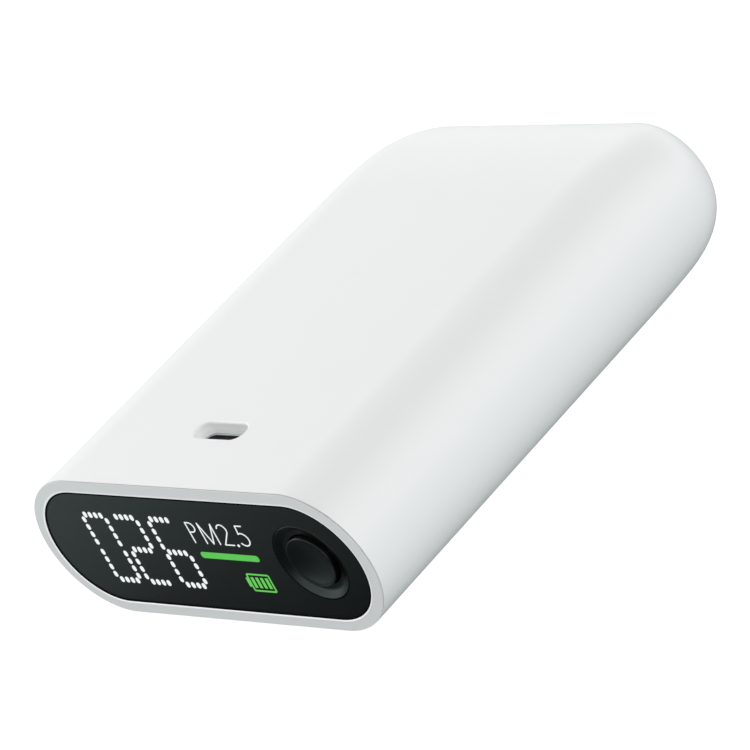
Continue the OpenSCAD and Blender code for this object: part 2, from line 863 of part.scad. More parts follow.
outer_shell();
front_panel();
panel_seal();
panel_tape();
front_frame();
lit_digits();
lit_label();
lit_level_bar();
lit_battery_sign();
button_ring();
button_cap();
display_glass();
display_foam();
display_bracket();
display_flex();
display_socket();
front_board();
front_screws();
switch_base();
switch_cover();
switch_dome();
switch_plunger();
switch_legs();
charge_socket_shell();
charge_socket_tongue();
charge_socket_contacts();
chassis_tray();
battery_cell();
battery_tape();
battery_guard_board();
battery_leads();
battery_socket();
main_board();
main_screws();
processor_chip();
radio_module();
charger_chip();
power_inductor();
clock_crystal();
capacitors();
resistors();
bridge_flex();
bridge_sockets();
sensor_case();
sensor_cover();
sensor_board();
laser_holder();
laser_diode();
laser_lens();
photodiode();
beam_trap();
fan_volute();
fan_axle();
fan_stator();
fan_rotor();
fan_magnet();
sensor_plug();
sensor_leads();
sensor_header();
duct_gasket();
dust_mesh();
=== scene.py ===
import json
import math

import bmesh
import bpy
from mathutils import Matrix, Vector


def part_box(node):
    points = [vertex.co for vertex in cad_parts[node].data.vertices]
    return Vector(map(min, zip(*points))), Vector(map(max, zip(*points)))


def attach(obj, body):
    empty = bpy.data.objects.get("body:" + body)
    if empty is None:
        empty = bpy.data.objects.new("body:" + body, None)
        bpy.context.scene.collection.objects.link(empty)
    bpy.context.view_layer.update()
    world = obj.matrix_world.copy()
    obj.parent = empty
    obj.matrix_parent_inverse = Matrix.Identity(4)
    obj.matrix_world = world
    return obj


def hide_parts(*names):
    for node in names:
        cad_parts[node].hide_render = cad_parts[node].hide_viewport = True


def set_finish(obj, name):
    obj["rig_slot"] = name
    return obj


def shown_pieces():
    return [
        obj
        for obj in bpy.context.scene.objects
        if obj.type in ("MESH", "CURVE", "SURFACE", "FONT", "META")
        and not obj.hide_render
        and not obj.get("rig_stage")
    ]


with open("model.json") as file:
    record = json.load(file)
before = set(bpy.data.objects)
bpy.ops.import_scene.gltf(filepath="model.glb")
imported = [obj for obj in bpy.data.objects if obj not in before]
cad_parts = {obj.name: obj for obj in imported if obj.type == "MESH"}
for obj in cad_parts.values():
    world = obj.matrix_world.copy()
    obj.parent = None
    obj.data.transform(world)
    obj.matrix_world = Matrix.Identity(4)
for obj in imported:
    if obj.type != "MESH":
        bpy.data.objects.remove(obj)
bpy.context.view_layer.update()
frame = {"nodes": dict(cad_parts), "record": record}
MM = 0.001

# ---- places taken from the frame ----

body_low, body_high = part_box("outer_shell")
body_mid = (body_low + body_high) / 2
half_w = (body_high.x - body_low.x) / 2
half_h = (body_high.z - body_low.z) / 2
front_y = body_low.y
rear_y = body_high.y
ring_low, ring_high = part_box("button_ring")
ring_mid = (ring_low + ring_high) / 2
cap_low, cap_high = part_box("button_cap")
socket_low, socket_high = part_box("charge_socket_shell")
socket_mid = (socket_low + socket_high) / 2

# ---- sizes of the sleeve ----

WALL = 1.77 * MM
RIM_EDGE = [  # depth behind the rim and inset from the side: parting line, then round to the front
    (0.39, 0), (0.35, 0.01), (0.32, 0.04), (0.305, 0.32), (0.14, 0.32), (0.13, 0.06), (0.11, 0.04),
    (0.085, 0.05), (0.065, 0.08), (0.06, 0.13)]
RIM_BEAD = [  # depth behind the rim and inset from the bore: the lip round the dark panel
    (0.06, 0.36), (0.045, 0.31), (0.012, 0.25), (0, 0.19), (0.003, 0.14), (0.02, 0.08), (0.055, 0.03),
    (0.11, 0.005), (0.16, 0)]
REAR_ROUND_X = 11.5 * MM
REAR_ROUND_Z = 21 * MM
REAR_INSET_X = 8.4 * MM
REAR_INSET_Z = 4.4 * MM
ARC_STEPS = 56
REAR_STEPS = 40
PORT_HALF = (4.35 * MM, 1.55 * MM)
PORT_CORNER = 1.45 * MM
PORT_FILLET = 0.3 * MM
VENT_HALF = (5.5 * MM, 0.6 * MM)
VENT_FILLET = 0.25 * MM
VENT_PITCH = 2.1 * MM
VENT_X = 10.5 * MM

# ---- sizes of the button ----

CAP_RADIUS = 3.74 * MM
CAP_ROOM = 0.11 * MM
CAP_DISH = 0.7 * MM
CAP_EDGE = 0.17 * MM  # flat ring between the hollow of the cap and its side
CAP_FILLET = 0.12 * MM
FLANGE_RADIUS = 4.65 * MM
FLANGE_THICK = 0.8 * MM
FLANGE_TO_TIP = 3.03 * MM
STEM_RADIUS = 1.2 * MM
RING_EDGE = 0.1 * MM  # width of the ring's level outer edge
RING_FOOT = (4.6 * MM, 0.58 * MM)  # radius and depth where the ring's slope levels out
RING_SLOPE_FILLET = 1.2 * MM
RING_LIP = 0.12 * MM  # width of the last step down to the bore
RING_LIP_DEPTHS = (0.64 * MM, 0.72 * MM)


# ---- meshes ----

def new_piece(name, shape, body, slot_name, replaced=()):
    """Turns a bmesh into a piece that rides on a body and stands for CAD nodes."""
    mesh = bpy.data.meshes.new(name)
    bmesh.ops.recalc_face_normals(shape, faces=shape.faces)
    shape.to_mesh(mesh)
    shape.free()
    piece = bpy.data.objects.new(name, mesh)
    bpy.context.scene.collection.objects.link(piece)
    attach(piece, body)
    if replaced:
        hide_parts(*replaced)
    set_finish(piece, slot_name)
    return piece


def rounded_outline(half_a, half_b, radius, steps):
    """Points of a rounded rectangle, once round, as pairs."""
    points = []
    for corner, (side_a, side_b) in enumerate(((1, 1), (-1, 1), (-1, -1), (1, -1))):
        for step in range(steps + 1):
            turn = math.radians(90) * (corner + step / steps)
            points.append((side_a * (half_a - radius) + radius * math.cos(turn),
                           side_b * (half_b - radius) + radius * math.sin(turn)))
    return points


def closed_skin(rings):
    """A closed solid through rings of equal length, with a flat cap at each end."""
    shape = bmesh.new()
    loops = [[shape.verts.new(point) for point in ring] for ring in rings]
    for near, far in zip(loops, loops[1:]):
        for i in range(len(near)):
            j = (i + 1) % len(near)
            shape.faces.new((near[i], near[j], far[j], far[i]))
    shape.faces.new(loops[0])
    shape.faces.new(list(reversed(loops[-1])))
    bmesh.ops.remove_doubles(shape, verts=shape.verts, dist=1e-7)
    return shape


def lathe(profile, middle, steps=144):
    """A solid of revolution about the front-to-back axis; profile holds radius and depth pairs."""
    shape = bmesh.new()
    axis = Vector((middle.x, 0, middle.z))
    verts = [shape.verts.new(axis + Vector((radius, depth, 0))) for radius, depth in profile]
    edges = [shape.edges.new(pair) for pair in zip(verts, verts[1:])]
    if profile[0][0] > 0:
        edges.append(shape.edges.new((verts[-1], verts[0])))
    bmesh.ops.spin(shape, geom=verts + edges, cent=axis, axis=(0, 1, 0), angle=2 * math.pi, steps=steps)
    bmesh.ops.remove_doubles(shape, verts=shape.verts, dist=1e-7)
    return shape


def rounded_profile(corners, steps=5):
    """Profile points with each corner rounded; corners hold radius, depth and corner radius."""
    points = []
    count = len(corners)
    for i, (r, d, fillet) in enumerate(corners):
        here = Vector((r, d))
        if fillet == 0:
            points.append((r, d))
            continue
        before = (Vector(corners[i - 1][:2]) - here).normalized()
        after = (Vector(corners[(i + 1) % count][:2]) - here).normalized()
        half = before.angle(after) / 2
        start = here + before * fillet / math.tan(half)
        end = here + after * fillet / math.tan(half)
        centre = here + (before + after).normalized() * fillet / math.sin(half)
        first, last = start - centre, end - centre
        sweep = first.angle_signed(last)
        for step in range(steps + 1):
            points.append(tuple(centre + Matrix.Rotation(-sweep * step / steps, 2) @ first))
    return points


def smooth(piece, sharp_degrees=32):
    """Smooth shading that keeps flat faces flat and real edges crisp."""
    for face in piece.data.polygons:
        face.use_smooth = True
    piece.data.set_sharp_from_angle(angle=math.radians(sharp_degrees))
    weights = piece.modifiers.new("even_normals", "WEIGHTED_NORMAL")
    weights.keep_sharp = True
    weights.weight = 100


def cut_from(piece, cutters):
    """Takes the cutters' solids out of a piece and removes them."""
    for shape in cutters:
        mesh = bpy.data.meshes.new("cutter")
        bmesh.ops.recalc_face_normals(shape, faces=shape.faces)
        shape.to_mesh(mesh)
        shape.free()
        cutter = bpy.data.objects.new("cutter", mesh)
        bpy.context.scene.collection.objects.link(cutter)
        step = piece.modifiers.new("cut", "BOOLEAN")
        step.operation = "DIFFERENCE"
        step.solver = "EXACT"
        step.object = cutter
        bpy.context.view_layer.update()
        result = piece.evaluated_get(bpy.context.evaluated_depsgraph_get())
        piece.data = bpy.data.meshes.new_from_object(result)
        piece.modifiers.clear()
        bpy.data.objects.remove(cutter)


def flared_hole(half_a, half_b, radius, fillet, depth, place, steps=10):
    """A cutter whose mouth opens out with a rounded edge; place turns (a, b, depth) into a point."""
    rings = []
    for step in range(steps + 1):
        turn = math.radians(90) * step / steps
        down = fillet * (1 - math.sin(turn))
        out = fillet * (1 - math.cos(turn))
        rings.append((out, down))
    rings = [(fillet, -fillet)] + rings[::-1] + [(0, depth)]
    return closed_skin([
        [place(a, b, down) for a, b in rounded_outline(half_a + out, half_b + out, radius + out, steps)]
        for out, down in rings])


def body_ring(y, inset_x, inset_z):
    """The sleeve's section at y, taken in from the full size by the insets."""
    a, b = half_w - inset_x, half_h - inset_z
    return [(x, y, body_mid.z + z) for x, z in rounded_outline(a, b, b, ARC_STEPS // 2)]


def rear_rings(inset):
    """Sections of the rounded rear end, from its start to its flat end, inset from the outside."""
    end_y = rear_y - inset
    span = REAR_ROUND_Z - inset

    def taken_in(back, length, most):
        far = min(1, max(0, 1 - back / (length - inset)))
        return inset + most * (1 - math.sqrt(1 - far * far))

    rings = []
    for step in range(REAR_STEPS + 1):
        back = span * (1 - math.sin(math.radians(90) * step / REAR_STEPS))
        rings.append(body_ring(end_y - back, taken_in(back, REAR_ROUND_X, REAR_INSET_X),
                               taken_in(back, REAR_ROUND_Z, REAR_INSET_Z)))
    return rings


def make_sleeve():
    """The white sleeve: one skin outside, round the front rim and back along the inside."""
    rings = rear_rings(0)[::-1]
    rings += [body_ring(front_y + depth * MM, inset * MM, inset * MM) for depth, inset in RIM_EDGE]
    for depth, inset in RIM_BEAD:
        inward = WALL - inset * MM
        rings.append(body_ring(front_y + depth * MM, inward, inward))
    rings += rear_rings(WALL)
    sleeve = new_piece("sleeve", closed_skin(rings), "case", "shell_plastic", ["outer_shell"])
    cutters = [flared_hole(*PORT_HALF, PORT_CORNER, PORT_FILLET, 2 * WALL,
                           lambda a, b, down: (socket_mid.x + a, socket_mid.y + b, body_high.z - down))]
    for side in (-1, 1):
        for row in (-1, 0, 1):
            at_x, at_z = body_mid.x + side * VENT_X, body_mid.z + row * VENT_PITCH
            cutters.append(flared_hole(*VENT_HALF, VENT_HALF[1], VENT_FILLET, 2 * WALL,
                                       lambda a, b, down: (at_x + a, rear_y - down, at_z + b)))
    cut_from(sleeve, cutters)
    smooth(sleeve)
    return sleeve


def make_ring():
    """The dished ring: a level edge, a slope that levels out, and a small step down to the bore."""
    outer = (ring_high.x - ring_low.x) / 2
    front = ring_low.y
    bore = CAP_RADIUS + CAP_ROOM
    profile = rounded_profile([
        (bore, front + RING_LIP_DEPTHS[1], 0.04 * MM),
        (bore + RING_LIP, front + RING_LIP_DEPTHS[0], 0.05 * MM),
        (RING_FOOT[0], front + RING_FOOT[1], RING_SLOPE_FILLET),
        (outer - RING_EDGE, front, 0.07 * MM),
        (outer, front + 0.08 * MM, 0.05 * MM),
        (outer, ring_high.y, 0),
        (bore, ring_high.y, 0)])
    smooth(new_piece("dished_ring", lathe(profile, ring_mid), "case", "button_plastic", ["button_ring"]))


def make_cap():
    """The cap that is pressed: a hollowed face, a soft edge, the flange that holds it and the stem."""
    face = cap_low.y
    flange_y = cap_high.y - FLANGE_TO_TIP
    flange_back = flange_y + FLANGE_THICK
    hollow = CAP_RADIUS - CAP_EDGE
    steps = 18
    profile = [(hollow * step / steps, face + CAP_DISH * (1 - (step / steps) ** 2))
               for step in range(steps)]
    profile += rounded_profile([(hollow, face, 0.03 * MM), (CAP_RADIUS, face, CAP_FILLET),
                                (CAP_RADIUS, flange_y, 0)])
    profile += [(FLANGE_RADIUS, flange_y), (FLANGE_RADIUS, flange_back), (STEM_RADIUS, flange_back),
                (STEM_RADIUS, cap_high.y), (0, cap_high.y)]
    smooth(new_piece("push_cap", lathe(profile, ring_mid), "button", "button_plastic", ["button_cap"]))


# ---- materials ----

# painted light: emission paints a highlight on the lip of the rim and brightens the walls of the port, and
# where it shows
LIP_PAINTED_HIGHLIGHT = 0.28
LIP_WIDTHS = (0.13 * MM, 0.27 * MM)  # from the bore: full painted highlight up to here, none from there
LIP_DEPTH = 0.5 * MM
PORT_PAINTED_LIGHT = 0.2
PORT_DEPTHS = (1.0 * MM, 0.08 * MM)  # below the top face: full painted light from here down, none up there


class Value:
    """A socket of a material. Arithmetic on it adds Math nodes."""

    def __init__(self, recipe, socket):
        self.recipe = recipe
        self.socket = socket

    def math(self, operation, first, second):
        return self.recipe.node("ShaderNodeMath", {"operation": operation}, {0: first, 1: second})

    def __add__(self, other):
        return self.math("ADD", self, other)

    __radd__ = __add__

    def __sub__(self, other):
        return self.math("SUBTRACT", self, other)

    def __rsub__(self, other):
        return self.math("SUBTRACT", other, self)

    def __mul__(self, other):
        return self.math("MULTIPLY", self, other)

    __rmul__ = __mul__

    def __gt__(self, other):
        return self.math("GREATER_THAN", self, other)

    def __lt__(self, other):
        return self.math("LESS_THAN", self, other)


class Recipe:
    """A procedural material, built node by node."""

    def __init__(self, name):
        self.material = bpy.data.materials.new(name)
        self.material.use_nodes = True
        self.tree = self.material.node_tree
        self.tree.nodes.clear()

    def node(self, kind, settings=None, inputs=None, output=0):
        """Adds a node: its settings first, then the values or links of its sockets."""
        made = self.tree.nodes.new(kind)
        for name, value in (settings or {}).items():
            if name == "stops":
                for stop, (place, colour) in zip(self.ramp_stops(made, len(value)), value):
                    stop.position = place
                    stop.color = colour
            else:
                setattr(made, name, value)
        for name, value in (inputs or {}).items():
            if isinstance(value, Value):
                self.tree.links.new(value.socket, made.inputs[name])
            else:
                made.inputs[name].default_value = value
        return Value(self, made.outputs[output]) if made.outputs else None

    @staticmethod
    def ramp_stops(made, count):
        stops = made.color_ramp.elements
        while len(stops) < count:
            stops.new(0.5)
        return stops

    def place(self):
        """Where a point is, in the frame's own axes."""
        return self.node("ShaderNodeTexCoord", output="Object")

    def noise(self, scale, detail=3.0, roughness=0.5, where=None):
        """Noise whose cells are about 1 / scale metres across."""
        return self.node("ShaderNodeTexNoise", None, {
            "Vector": where or self.place(), "Scale": scale, "Detail": detail, "Roughness": roughness})

    def cells(self, scale, **more):
        """Distance to the nearest of scattered points, about 1 / scale metres apart."""
        return self.node("ShaderNodeTexVoronoi", {"feature": "F1"}, {
            "Vector": self.place(), "Scale": scale, **more})

    def spread(self, value, low, high, to_low, to_high):
        """A value carried from one range to another, held at its ends."""
        return self.node("ShaderNodeMapRange", None, {
            0: value, 1: low, 2: high, 3: to_low, 4: to_high})

    def blend(self, factor, first, second):
        """A colour between two colours."""
        return self.node("ShaderNodeMix", {"data_type": "RGBA"}, {
            0: factor, 6: first, 7: second}, output=2)

    def bump(self, height, distance):
        """A relief of some depth over the surface."""
        return self.node("ShaderNodeBump", None, {"Strength": 1.0, "Distance": distance, "Height": height})

    def finish(self, **sockets):
        """Closes the recipe with a Principled shader; socket names use _ for a space."""
        named = {name.replace("_", " "): value for name, value in sockets.items()}
        shader = self.node("ShaderNodeBsdfPrincipled", None, named)
        self.node("ShaderNodeOutputMaterial", None, {"Surface": shader})
        return self.material


def rgb(red, green, blue):
    """An opaque colour."""
    return (red, green, blue, 1.0)


def moulded(name, colour, roughness, grain=9000, grain_depth=0.004, tint=0.02, **sockets):
    """Moulded plastic: a fine spark-eroded grain, faint cloudiness and uneven polish."""
    recipe = Recipe(name)
    cloud = recipe.noise(90, detail=4)
    fine = recipe.noise(grain, detail=2)
    darker = tuple(c * (1 - tint) for c in colour)
    base = recipe.blend(cloud, rgb(*darker), rgb(*colour))
    polish = recipe.spread(recipe.noise(400, detail=5), 0.3, 0.7, roughness - 0.03, roughness + 0.03)
    return recipe.finish(Base_Color=base, Roughness=polish,
                         Normal=recipe.bump(fine, grain_depth * MM), **sockets)


def shell_plastic():
    """White moulded plastic, with painted light: emission paints a highlight on the lip of the rim and
    brightens the walls of the port.
    """
    recipe = Recipe("shell_plastic")
    where = recipe.place()
    x, y, z = (recipe.node("ShaderNodeSeparateXYZ", None, {0: where}, output=i) for i in range(3))
    past_middle = recipe.node("ShaderNodeMath", {"operation": "ABSOLUTE"}, {0: x - body_mid.x})
    past_flat = recipe.node("ShaderNodeMath", {"operation": "MAXIMUM"}, {
        0: past_middle - (half_w - half_h), 1: 0.0})
    across = recipe.node("ShaderNodeCombineXYZ", None, {0: past_flat, 2: z - body_mid.z})
    radius = recipe.node("ShaderNodeVectorMath", {"operation": "LENGTH"}, {0: across}, output="Value")
    bore = half_h - WALL
    # painted highlight: emission along the lip of the rim
    lip_painted_highlight = (recipe.spread(radius, bore + LIP_WIDTHS[0], bore + LIP_WIDTHS[1], LIP_PAINTED_HIGHLIGHT, 0)
           * (y < front_y + LIP_DEPTH))
    # painted light: emission that brightens the walls of the port, lifting the shade in that recess
    from_port = recipe.node("ShaderNodeMath", {"operation": "ABSOLUTE"}, {0: y - socket_mid.y})
    port_painted_light = (recipe.spread(z, body_high.z - PORT_DEPTHS[0], body_high.z - PORT_DEPTHS[1], PORT_PAINTED_LIGHT, 0)
            * (from_port < PORT_HALF[1] + PORT_FILLET) * (past_middle < PORT_HALF[0] + PORT_FILLET)
            * (z > body_high.z - WALL))
    cloud = recipe.noise(90, detail=4)
    base = recipe.blend(cloud, rgb(0.79, 0.79, 0.79), rgb(0.8, 0.8, 0.8))
    polish = recipe.spread(recipe.noise(400, detail=5), 0.3, 0.7, 0.33, 0.39)
    # emission colour carrying the painted highlight on the lip and the painted light in the port
    glow = recipe.blend(lip_painted_highlight + port_painted_light, rgb(0, 0, 0), rgb(1, 1, 1))
    return recipe.finish(Base_Color=base, Roughness=polish, Emission_Color=glow, Emission_Strength=1.0,
                         Normal=recipe.bump(recipe.noise(9000, detail=2), 0.0025 * MM))


def seal_rubber():
    """Black rubber with a faint bloom; its near-black is the rubber's own black deepened into painted shade
    for the gap round the panel.
    """
    recipe = Recipe("seal_rubber")
    bloom = recipe.noise(800, detail=3)
    # near-black: the rubber's own black, deepened as painted shade of the gap round the panel
    base = recipe.blend(bloom, rgb(0.001, 0.0012, 0.0012), rgb(0.002, 0.0024, 0.0024))
    return recipe.finish(Base_Color=base, Roughness=recipe.spread(bloom, 0.3, 0.7, 0.85, 0.95),
                         Specular_IOR_Level=0.1)


def socket_steel():
    """Tinned steel: bright on the collar's top, dark and dull down inside the socket, where the dark colour
    is painted shade.
    """
    recipe = Recipe("socket_steel")
    where = recipe.place()
    height = recipe.node("ShaderNodeSeparateXYZ", None, {0: where}, output=2)
    on_top = height > socket_high.z - 0.1 * MM
    patches = recipe.noise(900, detail=4)
    bright = recipe.blend(patches, rgb(0.66, 0.68, 0.69), rgb(0.8, 0.82, 0.83))
    # painted shade: dark teal below the collar's top, inside the socket
    base = recipe.blend(on_top, rgb(0.028, 0.045, 0.045), bright)
    return recipe.finish(Base_Color=base, Metallic=on_top * 0.6,
                         Roughness=recipe.spread(patches, 0.3, 0.7, 0.4, 0.5))


def panel_plastic():
    """Dark tinted panel: a smooth hard coat over near-black, with the faintest orange peel."""
    recipe = Recipe("panel_plastic")
    cloud = recipe.noise(60, detail=3)
    base = recipe.blend(cloud, rgb(0.0025, 0.0045, 0.0047), rgb(0.0032, 0.0056, 0.0058))
    peel = recipe.noise(350, detail=2)
    polish = recipe.spread(recipe.noise(700, detail=5), 0.3, 0.7, 0.3, 0.36)
    return recipe.finish(Base_Color=base, Roughness=polish, Normal=recipe.bump(peel, 0.003 * MM))


def button_plastic():
    """Satin near-black plastic of the ring and the cap."""
    return moulded("button_plastic", (0.0014, 0.0017, 0.0017), 0.31, grain=14000, grain_depth=0.002,
                   Specular_Tint=rgb(0.85, 1.0, 1.02))


def lit(name, colour, strength):
    """Light that comes through the panel, a touch uneven over each sign."""
    recipe = Recipe(name)
    glow = recipe.spread(recipe.noise(1500, detail=1), 0.3, 0.7, 0.94, 1.0)
    shade = recipe.node("ShaderNodeVectorMath", {"operation": "SCALE"}, {0: colour, "Scale": glow})
    return recipe.finish(Base_Color=rgb(0.01, 0.012, 0.01), Emission_Color=shade,
                         Emission_Strength=strength, Roughness=0.5)


def sheet_metal(name, colour, roughness, stretch=(1, 14, 1), scale=900):
    """Rolled metal: fine lines along the rolling direction and patchy polish."""
    recipe = Recipe(name)
    rolled = recipe.node("ShaderNodeMapping", None, {"Vector": recipe.place(), "Scale": stretch})
    lines = recipe.noise(scale, detail=4, where=rolled)
    dull = tuple(c * 0.82 for c in colour)
    base = recipe.blend(lines, rgb(*dull), rgb(*colour))
    polish = recipe.spread(lines, 0.3, 0.7, roughness - 0.08, roughness + 0.08)
    return recipe.finish(Base_Color=base, Metallic=1.0, Roughness=polish,
                         Normal=recipe.bump(lines, 0.004 * MM))


def foam():
    """Closed-cell foam with open pores on its cut faces, darker in the pores as painted shade."""
    recipe = Recipe("foam")
    pores = recipe.cells(2600)
    # painted shade: darker at the bottom of each pore
    base = recipe.blend(recipe.spread(pores, 0, 0.6, 0, 1), rgb(0.02, 0.02, 0.02), rgb(0.07, 0.07, 0.07))
    return recipe.finish(Base_Color=base, Roughness=0.92, Normal=recipe.bump(pores, 0.08 * MM))


def board_laminate():
    """Printed board: green mask over a weave, with copper runs and bright pads showing."""
    recipe = Recipe("board_laminate")
    where = recipe.place()
    runs = recipe.node("ShaderNodeTexBrick", {"offset": 0.37, "squash": 1.4}, {
        "Vector": where, "Color1": rgb(0, 0, 0), "Color2": rgb(0.4, 0.4, 0.4), "Mortar": rgb(1, 1, 1),
        "Scale": 260, "Mortar Size": 0.09, "Brick Width": 1.7, "Row Height": 0.42})
    pads = recipe.cells(420, Randomness=0.55) < 0.14
    mask = recipe.blend(runs, rgb(0.012, 0.085, 0.04), rgb(0.03, 0.17, 0.08))
    base = recipe.blend(pads, mask, rgb(0.62, 0.58, 0.42))
    weave = recipe.node("ShaderNodeTexWave", {"bands_direction": "DIAGONAL"}, {
        "Vector": where, "Scale": 900, "Distortion": 0.6})
    return recipe.finish(Base_Color=base, Metallic=pads, Roughness=recipe.spread(runs, 0, 1, 0.34, 0.24),
                         Normal=recipe.bump(runs * 0.8 + weave * 0.2, 0.02 * MM))


def flex_film():
    """Amber film with darker printed runs."""
    recipe = Recipe("flex_film")
    bands = recipe.node("ShaderNodeTexWave", {"bands_direction": "X"}, {
        "Vector": recipe.place(), "Scale": 320})
    base = recipe.blend(bands > 0.5, rgb(0.42, 0.2, 0.03), rgb(0.62, 0.33, 0.08))
    return recipe.finish(Base_Color=base, Roughness=0.28, Normal=recipe.bump(bands, 0.01 * MM))


def winding():
    """Enamelled wire, turn beside turn, darker in the grooves between turns as painted shade."""
    recipe = Recipe("copper_winding")
    turns = recipe.node("ShaderNodeTexWave", {"bands_direction": "Z"}, {
        "Vector": recipe.place(), "Scale": 900, "Distortion": 0.4})
    # painted shade: darker where the bands dip between turns
    base = recipe.blend(turns, rgb(0.24, 0.07, 0.02), rgb(0.75, 0.3, 0.12))
    return recipe.finish(Base_Color=base, Metallic=0.9, Roughness=0.3, Normal=recipe.bump(turns, 0.05 * MM))


def pouch_foil():
    """Soft aluminium foil, slightly creased."""
    recipe = Recipe("pouch_foil")
    folds = recipe.noise(120, detail=5, roughness=0.6)
    base = recipe.blend(folds, rgb(0.5, 0.53, 0.56), rgb(0.68, 0.7, 0.72))
    polish = recipe.spread(folds, 0.3, 0.7, 0.28, 0.42)
    return recipe.finish(Base_Color=base, Metallic=0.85, Roughness=polish,
                         Normal=recipe.bump(folds, 0.35 * MM))


def lens_glass():
    """Clear lens glass."""
    recipe = Recipe("lens_glass")
    wash = recipe.spread(recipe.noise(500, detail=2), 0.3, 0.7, 0.02, 0.05)
    return recipe.finish(Base_Color=rgb(0.9, 0.94, 0.97), Roughness=wash, Transmission_Weight=1.0, IOR=1.52)


def display_glass():
    """Dark glass over a fine grid of lamps."""
    recipe = Recipe("display_glass")
    grid = recipe.node("ShaderNodeTexBrick", {"offset": 0.0}, {
        "Vector": recipe.place(), "Color1": rgb(0.012, 0.012, 0.014), "Color2": rgb(0.016, 0.016, 0.018),
        "Mortar": rgb(0.03, 0.03, 0.032), "Scale": 1500, "Mortar Size": 0.05})
    return recipe.finish(Base_Color=grid, Roughness=recipe.spread(recipe.noise(300), 0.3, 0.7, 0.06, 0.1),
                         Coat_Weight=0.6)


MATERIALS = {
    "shell_plastic": shell_plastic,
    "panel_plastic": panel_plastic,
    "seal_rubber": seal_rubber,
    "socket_steel": socket_steel,
    "button_plastic": button_plastic,
    "inner_plastic": lambda: moulded("inner_plastic", (0.74, 0.74, 0.72), 0.5),
    "tape": lambda: moulded("tape", (0.12, 0.12, 0.12), 0.75, grain=5000, grain_depth=0.02),
    "lit_white": lambda: lit("lit_white", (0.96, 1.0, 1.0), 0.93),
    "lit_green": lambda: lit("lit_green", (0.095, 0.56, 0.075), 1.0),
    "lit_green_light": lambda: lit("lit_green_light", (0.135, 0.61, 0.1), 1.0),
    "display_glass": display_glass,
    "foam": foam,
    "flex_film": flex_film,
    "socket_plastic": lambda: moulded("socket_plastic", (0.72, 0.66, 0.52), 0.45),
    "board_laminate": board_laminate,
    "screw_steel": lambda: sheet_metal("screw_steel", (0.55, 0.55, 0.57), 0.34),
    "tinned_steel": lambda: sheet_metal("tinned_steel", (0.66, 0.68, 0.69), 0.3),
    "shaft_steel": lambda: sheet_metal("shaft_steel", (0.6, 0.6, 0.61), 0.2, (14, 14, 1)),
    "mesh_steel": lambda: sheet_metal("mesh_steel", (0.3, 0.3, 0.31), 0.4),
    "gold_plate": lambda: sheet_metal("gold_plate", (0.85, 0.62, 0.25), 0.26),
    "copper_winding": winding,
    "black_resin": lambda: moulded("black_resin", (0.028, 0.028, 0.03), 0.55, grain=6000, grain_depth=0.01),
    "red_plastic": lambda: moulded("red_plastic", (0.42, 0.04, 0.03), 0.4),
    "pouch_foil": pouch_foil,
    "wire_red": lambda: moulded("wire_red", (0.48, 0.02, 0.02), 0.48, grain=3000, grain_depth=0.006),
    "wire_grey": lambda: moulded("wire_grey", (0.22, 0.22, 0.23), 0.48, grain=3000, grain_depth=0.006),
    "ferrite": lambda: moulded("ferrite", (0.06, 0.06, 0.065), 0.62, grain=5000, grain_depth=0.02),
    "capacitor_ceramic": lambda: moulded("capacitor_ceramic", (0.42, 0.3, 0.17), 0.4, tint=0.12),
    "sensor_plastic": lambda: moulded("sensor_plastic", (0.04, 0.048, 0.065), 0.5, grain=7000,
                                      grain_depth=0.008),
    "lens_glass": lens_glass,
}


def paint_everything():
    """Gives each piece and each CAD node the material of its slot."""
    made = {slot_name: recipe() for slot_name, recipe in MATERIALS.items()}
    for row in frame["record"]["subparts"]:
        node = frame["nodes"][row["node"]]
        node.data.materials.clear()
        node.data.materials.append(made[row["material_slot"]])
    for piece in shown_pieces():
        if "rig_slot" in piece:
            piece.data.materials.clear()
            piece.data.materials.append(made[piece["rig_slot"]])


# ---- soft edges on the carried-over parts ----

EDGE_WIDTHS = {  # in millimetres
    "front_frame": 0.15, "display_glass": 0.1, "display_bracket": 0.15,
    "display_socket": 0.1, "front_board": 0.06, "front_screws": 0.06, "switch_base": 0.12,
    "switch_cover": 0.05, "switch_plunger": 0.08, "charge_socket_shell": 0.05,
    "charge_socket_tongue": 0.05, "chassis_tray": 0.15, "battery_socket": 0.12,
    "main_board": 0.06, "main_screws": 0.06, "processor_chip": 0.03, "radio_module": 0.12,
    "charger_chip": 0.08, "power_inductor": 0.15, "clock_crystal": 0.1, "capacitors": 0.06,
    "resistors": 0.05, "bridge_sockets": 0.08, "sensor_case": 0.15, "sensor_cover": 0.12,
    "sensor_board": 0.06, "laser_holder": 0.15, "laser_diode": 0.06, "beam_trap": 0.1,
    "fan_volute": 0.12, "fan_rotor": 0.06, "fan_stator": 0.05, "fan_magnet": 0.08,
    "sensor_plug": 0.1, "sensor_header": 0.1, "duct_gasket": 0.15, "battery_guard_board": 0.05}


def soften_edges():
    """Small bevels on the carried-over parts, as moulding and stamping leave them."""
    for name, width in EDGE_WIDTHS.items():
        node = frame["nodes"][name]
        weld = node.modifiers.new("join", "WELD")
        weld.merge_threshold = 1e-6
        edge = node.modifiers.new("soft_edges", "BEVEL")
        edge.width = width * MM
        edge.segments = 2
        edge.limit_method = "ANGLE"
        edge.angle_limit = math.radians(50)
        normals = node.modifiers.new("even_normals", "WEIGHTED_NORMAL")
        normals.weight = 100


# ---- stage ----

CAMERA_FROM = (52.88, 26.26)
CAMERA_DISTANCE = 610.3 * MM
CAMERA_AIM = (-1.56 * MM, -2.91 * MM, 9.44 * MM)
CAMERA_ROLL = 28.25
CAMERA_LENS = 228.3
SENSOR_WIDTH = 36


def direction(azimuth, elevation):
    """Unit vector towards a place round the object; azimuth 0 is in front of the display."""
    a, e = math.radians(azimuth), math.radians(elevation)
    return Vector((math.sin(a) * math.cos(e), -math.cos(a) * math.cos(e), math.sin(e)))


